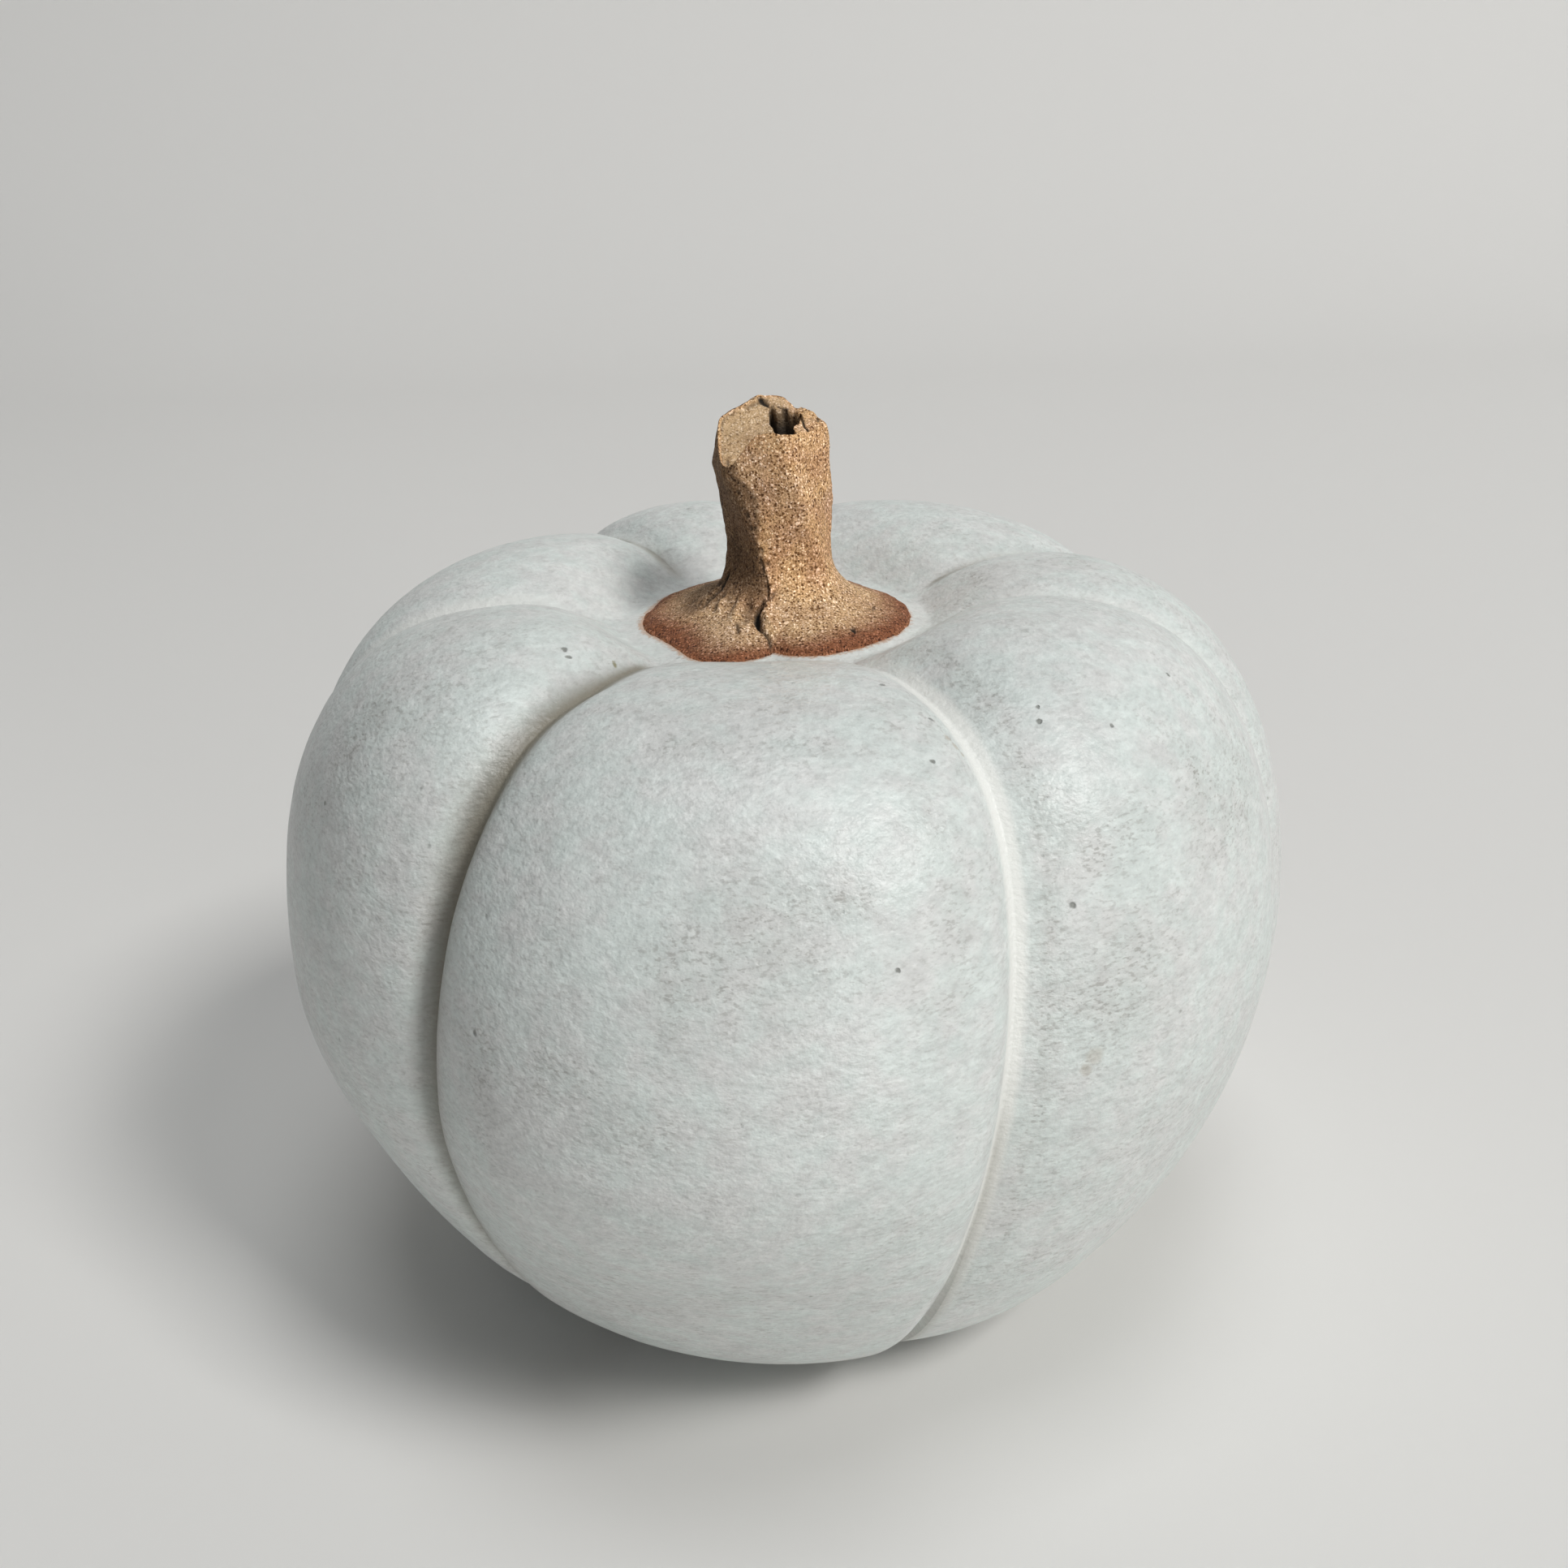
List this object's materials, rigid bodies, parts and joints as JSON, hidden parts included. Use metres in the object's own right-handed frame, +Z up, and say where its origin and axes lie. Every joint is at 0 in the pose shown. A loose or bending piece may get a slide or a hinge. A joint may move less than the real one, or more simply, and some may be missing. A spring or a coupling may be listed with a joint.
{
  "type": "ceramic pumpkin",
  "caption": "Handmade stoneware ornament in the form of a lobed pumpkin, with a pale satin glaze, hollow body and a rolled stem of bare brown clay.",
  "frame": {"origin": "centre of the underside, at the middle of the object's box, on the plane that it stands on", "axes": "+Z up, +X to the right and -Y towards the front, as the picture shows it"},
  "size_m": [0.1334, 0.137, 0.1193],
  "materials": {
    "glaze": "satin",
    "bare_clay": "matte"
  },
  "bodies": {
    "root": {"body": "glaze", "stem": "bare_clay"}
  },
  "joints": []
}
